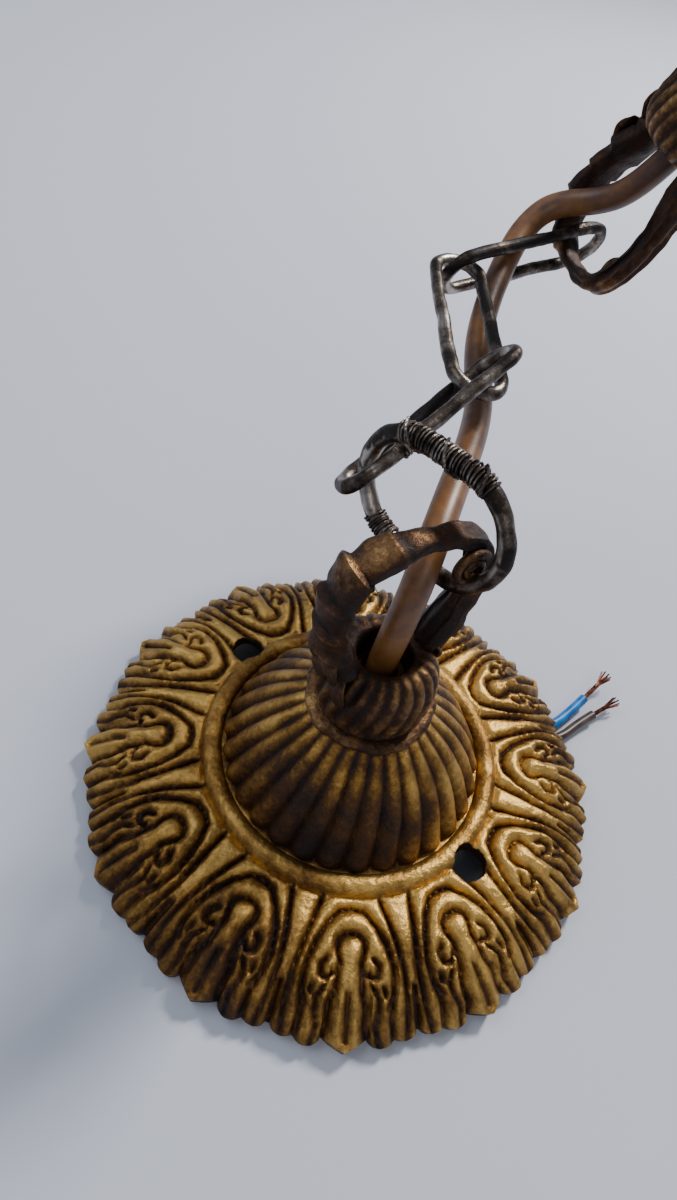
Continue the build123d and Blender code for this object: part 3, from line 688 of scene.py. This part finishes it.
# CAD node, body, middle, the ways along and across, then length, width and wire in mm,
# length and width between the wire's middles
RING_LENGTH, RING_WIDTH = 32.0, 21.6
SLIM_WIDTH = 10.4
link_rows = [
    ("ring_link", "ring", (0.955, 11.913, 73.593), (-0.781, 0.617, -0.097),
     (-0.013, 0.139, 0.99), RING_LENGTH, RING_WIDTH, 3.3),
    ("slim_link", "slim", (-2.601, 33.59, 76.441), (0.553, 0.761, 0.339),
     (-0.406, 0.602, -0.688), 43.1, SLIM_WIDTH, 2.8),
    ("bent_link", "bent", (0.95, 64.616, 80.067), (-0.2, 0.978, 0.06),
     (0.968, 0.207, -0.142), 45.9, 11.0, 2.8),
    ("cross_link", "cross", (12.043, 97.727, 81.254), (0.746, 0.662, 0.07),
     (0.152, -0.273, 0.95), 45.9, 10.0, 2.8),
]

link_frames = {}
for number, (node, body, middle, along, across_way, length, width, wire) in enumerate(link_rows):
    along = Vector(along).normalized()
    across_way = Vector(across_way)
    across_way = (across_way - along * across_way.dot(along)).normalized()
    turn = Matrix((along, across_way, along.cross(across_way))).transposed().to_4x4()
    stand = Matrix.Translation(Vector(middle) * MM) @ turn
    link_frames[node] = (Vector(middle), along, across_way)
    bpy.ops.object.select_all(action="DESELECT")
    bpy.ops.mesh.primitive_torus_add(major_segments=96, minor_segments=20,
                                     major_radius=width / 2 * MM, minor_radius=wire / 2 * MM)
    link = bpy.context.object
    link.name = node + "_wire"
    bpy.ops.object.mode_set(mode="EDIT")
    bpy.ops.mesh.select_all(action="DESELECT")
    bpy.ops.object.mode_set(mode="OBJECT")
    for vertex in link.data.vertices:
        vertex.select = vertex.co.x > 1e-6
    bpy.ops.object.mode_set(mode="EDIT")
    bpy.ops.transform.translate(value=((length - width) * MM, 0.0, 0.0))
    bpy.ops.mesh.select_all(action="DESELECT")
    bpy.ops.object.mode_set(mode="OBJECT")
    for edge in link.data.edges:
        a, b = (link.data.vertices[v].co for v in edge.vertices)
        edge.select = abs(a.x - b.x) > 0.6 * (length - width) * MM
    bpy.ops.object.mode_set(mode="EDIT")
    bpy.ops.mesh.select_mode(type="EDGE")
    bpy.ops.mesh.subdivide(number_cuts=24)
    bpy.ops.mesh.select_mode(type="VERT")
    bpy.ops.object.mode_set(mode="OBJECT")
    half = (length - width) / 2 * MM
    wear = []
    for vertex in link.data.vertices:
        vertex.co.x -= half
        p = vertex.co / MM
        past_bar = max(0.0, abs(p.x) - (length - width) / 2)
        end = past_bar / (width / 2)
        inside = math.hypot(past_bar, p.y) < width / 2
        patch = noise.noise(p * 0.16 + Vector((number * 9, 0, 0)))
        wear.append(min(1.0, 0.9 * end * inside + 0.5 * (patch + 0.2) + 0.35 * (p.y < 0)))
        dents = noise.noise_vector(p * 0.35 + Vector((number * 5, 2, 1))) * 0.2
        bends = noise.noise_vector(p * 0.09 + Vector((1, number * 3, 4))) * 0.5
        vertex.co += (dents + bends) * MM
    link.data.attributes.new("wear", "FLOAT", "POINT").data.foreach_set("value", wear)
    link.matrix_world = stand
    bpy.ops.object.transform_apply(location=True, rotation=True, scale=True)
    bpy.ops.object.shade_smooth()
    link.data.materials.clear()
    link.data.materials.append(iron_wire)
    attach(link, body)
    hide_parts(node)

# Bindings: soft iron wire wound round the joints of two links to stop them opening, turn
# beside turn, with one loose strand crossing the ring's long binding.
STRAND_SIDES = 6


def wind(line, coil_radius, pitch, crossing=False):
    """Points in mm along a wire wound round a line, or strung loosely across when `crossing`."""
    run = [0.0]
    for a, b in zip(line, line[1:]):
        run.append(run[-1] + (b - a).length)
    turns = run[-1] / pitch
    steps = int(turns * 12)
    side = (line[1] - line[0]).normalized().orthogonal().normalized()
    coil = []
    at = 0
    for k in range(steps + 1):
        s = run[-1] * k / steps
        while at < len(run) - 2 and run[at + 1] < s:
            at += 1
        share = (s - run[at]) / (run[at + 1] - run[at])
        p = line[at].lerp(line[at + 1], share)
        along = (line[at + 1] - line[at]).normalized()
        side = (side - along * side.dot(along)).normalized()
        other = along.cross(side)
        a = 2 * math.pi * turns * k / steps * (0.12 if crossing else 1)
        r = coil_radius * (1 + 0.03 * math.sin(k * 0.37) + 0.02 * math.sin(k * 1.3))
        slack = along * 0.12 * math.sin(k * 0.21)
        coil.append(p + (side * math.cos(a) + other * math.sin(a)) * r + slack)
    return coil


def binding(name, coils, wire, node, body):
    """Make one piece of the wound wires, hand it to its body and hide the CAD node it stands for.
    """
    parts = []
    for k, coil in enumerate(coils):
        rings = round_rings(coil, wire / 2, STRAND_SIDES)
        wear = [0.35 + 0.5 * (noise.noise(Vector(ring[0]) * 0.25) + 0.3)
                for ring in rings for _ in range(STRAND_SIDES)]
        parts.append(skin(name + "_%d" % k, rings, False, wear, iron_wire))
    bpy.ops.object.select_all(action="DESELECT")
    for part in parts:
        part.select_set(True)
    bpy.context.view_layer.objects.active = parts[0]
    if len(parts) > 1:
        bpy.ops.object.join()
    parts[0].name = name
    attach(parts[0], body)
    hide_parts(node)


middle, along, across_way = link_frames["ring_link"]
ring_run, ring_round = (RING_LENGTH - RING_WIDTH) / 2, RING_WIDTH / 2


def ring_arc(from_deg, to_deg):
    """Line along the ring's wire: angles from its length, the straight bars taken in between."""
    points = []
    for deg in np.arange(from_deg, to_deg + 0.01, 3.0):
        a = math.radians(deg)
        x = ring_round * math.cos(a) + (ring_run if math.cos(a) > 0.001 else -ring_run)
        points.append(middle + along * x + across_way * ring_round * math.sin(a))
    return points


upper = ring_arc(65.0, 89.0) + ring_arc(91.0, 115.0)
first = wind(upper, 1.95, 0.78)
loose = wind(upper, 2.35, 1.0, crossing=True)
binding("ring_upper_winding", [first, loose], 0.52, "ring_binding_upper", "ring")
lower = ring_arc(278.0, 308.0)
binding("ring_lower_winding", [wind(lower, 1.95, 0.62)], 0.5, "ring_binding_lower", "ring")
middle, along, across_way = link_frames["slim_link"]
slim_bar = [middle + along * x - across_way * (SLIM_WIDTH / 2)
            for x in np.linspace(-11.0, -6.0, 12)]
binding("slim_link_winding", [wind(slim_bar, 1.7, 0.62)], 0.5, "slim_link_binding", "slim")

# Flex: round two-core cable in an old brown rubber sheath, up through the canopy's tube and
# mouth, loosely beside the chain, and into the crown's hub.
FLEX_SIDES = 24
flex_route = [
    (14, 8, 7), (7, 4, 9.5), (0.6, 0.3, 15.5), (0, 0, 26), (0, 0.1, 42), (0.8, 0.2, 54),
    (1.6, 1.6, 63), (2.3, 6, 68.6), (3.4, 14, 70.6), (4.9, 25.1, 70.6), (7.1, 39.2, 69.8),
    (7.8, 54, 69.4), (5.1, 67.9, 71.8), (5.3, 81.8, 75.7), (7.2, 92.8, 80.4),
    (9.4, 101.7, 84.6), (13.3, 106.6, 88.9), (18.2, 107.5, 91.4), (23.8, 106, 93.6),
    (29.2, 103, 97.8), (34.2, 100.4, 107.2), (39.4, 100.4, 118.2), (44, 100.1, 129.1),
    (49, 99.9, 140),
]


def smooth_route(name, route, detail):
    """Curve through a route's control points in mm, straight out of its ends."""
    curve = bpy.data.curves.new(name, "CURVE")
    curve.dimensions = "3D"
    curve.resolution_u = detail
    spline = curve.splines.new("NURBS")
    spline.points.add(len(route) - 1)
    for point, place in zip(spline.points, route):
        point.co = (place[0] * MM, place[1] * MM, place[2] * MM, 1.0)
    spline.order_u = 3
    spline.use_endpoint_u = True
    piece = bpy.data.objects.new(name, curve)
    bpy.context.scene.collection.objects.link(piece)
    return piece


def read_line(piece):
    """Points in mm along a curve that has no bevel."""
    bpy.context.view_layer.update()
    mesh = bpy.data.meshes.new_from_object(piece)
    line = [v.co / MM for v in mesh.vertices]
    bpy.data.meshes.remove(mesh)
    return line


guide = smooth_route("flex_guide", flex_route, 14)
flex_line = read_line(guide)
bpy.data.objects.remove(guide)
# Old natural rubber, faded brown, with greasy grime and scuffs that dull its soft gloss
material, tree, shader = new_material("old_brown_rubber_sheath")
place = add_node(tree, "ShaderNodeTexCoord").outputs["Object"]
faded = add_node(tree, "ShaderNodeTexNoise", {"Vector": place}, in_Scale=45.0, in_Detail=4.0)
grime = add_node(tree, "ShaderNodeTexNoise", {"Vector": place},
                 in_Scale=420.0, in_Detail=5.0, in_Roughness=0.65)
both = add_node(tree, "ShaderNodeMath", {0: grime.outputs["Fac"], 2: faded.outputs["Fac"]},
                operation="MULTIPLY_ADD", in_1=0.35)
colour = colour_steps(add_node(tree, "ShaderNodeValToRGB", {"Fac": both.outputs[0]}),
                      [(0.45, "#3a2420"), (0.62, "#5e3d26"), (0.8, "#87592c")])
tree.links.new(colour.outputs["Color"], shader.inputs["Base Color"])
shader.inputs["Roughness"].default_value = 0.42
shader.inputs["IOR"].default_value = 1.52
scuffed = add_node(tree, "ShaderNodeBump", {"Height": grime.outputs["Fac"]},
                   in_Strength=0.2, in_Distance=0.0003)
tree.links.new(scuffed.outputs["Normal"], shader.inputs["Normal"])
rubber = material

flex_rings = round_rings(flex_line, 2.9, FLEX_SIDES)
# Each stretch spans one joint: its CAD node, the two bodies, where the bend starts and ends,
# and which points of the line belong to it
stretches = [
    ("flex_1", "canopy", "ring", (0, 0, 55), (3, 11, 70), lambda p: p.y < 12.0 and p.z < 77),
    ("flex_2", "ring", "slim", (3, 12, 70), (6.5, 36, 70), lambda p: 12.0 <= p.y < 37.0),
    ("flex_3", "slim", "bent", (7, 37, 70), (6, 64, 71), lambda p: 37.0 <= p.y < 64.0),
    ("flex_4", "bent", "cross", (6, 64, 71), (7, 93, 80),
     lambda p: 64.0 <= p.y < 93.0 and p.z < 82),
    ("flex_5", "cross", "crown", (7, 93, 80), (26, 104, 95), lambda p: True),
]
begin = 0
for node, near, far, start, end, belongs in stretches:
    stop = begin
    while stop < len(flex_line) and belongs(flex_line[stop]):
        stop += 1
    stop = min(stop, len(flex_line) - 1)
    part_rings = flex_rings[begin:stop + 1]
    unworn = [0.0] * (FLEX_SIDES * len(part_rings))
    piece = skin(node + "_sheath", part_rings, False, unworn, rubber)
    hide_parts(node)
    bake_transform(piece)
    begin = stop

# Cores: the flex's two insulated conductors, out from under the skirt and along the surface,
# each stripped at its end to copper strands that have been twisted and have splayed open.
STRANDS = 8
STRAND_STEPS = 21
TWIST_LENGTH = 3.6
FLOOR_CLEARANCE = 0.4
neutral_route = [(13.355, 9.129, 7.0), (19.989, 12.92, 4.631), (29.5, 17.0, 1.6),
                 (40.5, 21.5, 1.45), (49.0, 26.6, 1.45), (53.8, 32.4, 1.8), (57.0, 36.9, 2.4)]
live_route = [(14.645, 6.871, 7.0), (21.279, 10.663, 4.631), (31.0, 14.3, 1.5),
              (42.0, 18.6, 1.45), (51.0, 23.4, 1.45), (55.8, 29.2, 1.7), (59.4, 32.6, 2.1)]
# Bare copper, browned in the air, its fine drawn strands still catching the light
material, tree, shader = new_material("bare_copper_strand")
shader.inputs["Metallic"].default_value = 1.0
place = add_node(tree, "ShaderNodeTexCoord").outputs["Object"]
dulled = add_node(tree, "ShaderNodeTexNoise", {"Vector": place}, in_Scale=700.0, in_Detail=4.0)
colour = colour_steps(add_node(tree, "ShaderNodeValToRGB", {"Fac": dulled.outputs["Fac"]}),
                      [(0.35, "#3d2019"), (0.6, "#8a5240")])
tree.links.new(colour.outputs["Color"], shader.inputs["Base Color"])
shader.inputs["Roughness"].default_value = 0.45
bare_copper = material
for name, route, bare, splay, length, dark, light, node in (
    ("neutral_core", neutral_route, 7.0, 1.3, 0.0535, "#03508f", "#0b78c9", "neutral"),
    ("live_core", live_route, 5.0, 1.1, 0.0532, "#2f2624", "#54423a", "live"),
):
    # PVC insulation, softly glossy, its colour a little uneven with age
    material, tree, shader = new_material(name + "_pvc")
    place = add_node(tree, "ShaderNodeTexCoord").outputs["Object"]
    uneven = add_node(tree, "ShaderNodeTexNoise", {"Vector": place}, in_Scale=300.0, in_Detail=3.0)
    colour = colour_steps(add_node(tree, "ShaderNodeValToRGB", {"Fac": uneven.outputs["Fac"]}),
                          [(0.35, dark), (0.65, light)])
    tree.links.new(colour.outputs["Color"], shader.inputs["Base Color"])
    shader.inputs["Roughness"].default_value = 0.35
    shader.inputs["IOR"].default_value = 1.53
    core = smooth_route(name + "_wire", route, 12)
    core.data.bevel_depth = 1.2 * MM
    core.data.bevel_resolution = 4
    core.data.use_fill_caps = True
    core.data.materials.append(material)
    out = (Vector(route[-1]) - Vector(route[-2])).normalized()
    side = out.cross(Vector((0, 0, 1))).normalized()
    lift = side.cross(out)
    parts = []
    # Eight strands round a middle one, laid in a slow twist and splayed past their last turn
    for k in range(STRANDS + 1):
        base = 2 * math.pi * k / STRANDS
        reach = 0.38 if k < STRANDS else 0.0
        spread = random.uniform(0.55, 1.0) * splay if k < STRANDS else 0.4
        line = []
        for i in range(STRAND_STEPS + 1):
            s = i / STRAND_STEPS
            far = s * (bare + TWIST_LENGTH + random.uniform(-0.02, 0.02))
            a = base + min(far, bare) / TWIST_LENGTH * math.pi
            r = reach + max(0.0, far - bare) / TWIST_LENGTH * spread
            height = r * math.sin(a)
            low = route[-1][2] + out.z * far + height
            if low <= FLOOR_CLEARANCE:
                height = FLOOR_CLEARANCE - low + height
            start = Vector(route[-1]) - out * 0.4
            line.append(start + out * far + side * r * math.cos(a) + lift * height)
        rings = round_rings(line, 0.2, STRAND_SIDES)
        unworn = [0.0] * (STRAND_SIDES * len(rings))
        parts.append(skin(node + "_strand_%d" % k, rings, False, unworn, bare_copper))
    bpy.ops.object.select_all(action="DESELECT")
    for part in parts:
        part.select_set(True)
    bpy.context.view_layer.objects.active = parts[0]
    bpy.ops.object.join()
    strands = parts[0]
    strands.name = node + "_copper_strands"
    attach(strands, "canopy")
    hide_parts(node + "_strands")
    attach(core, "canopy")
    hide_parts(name)
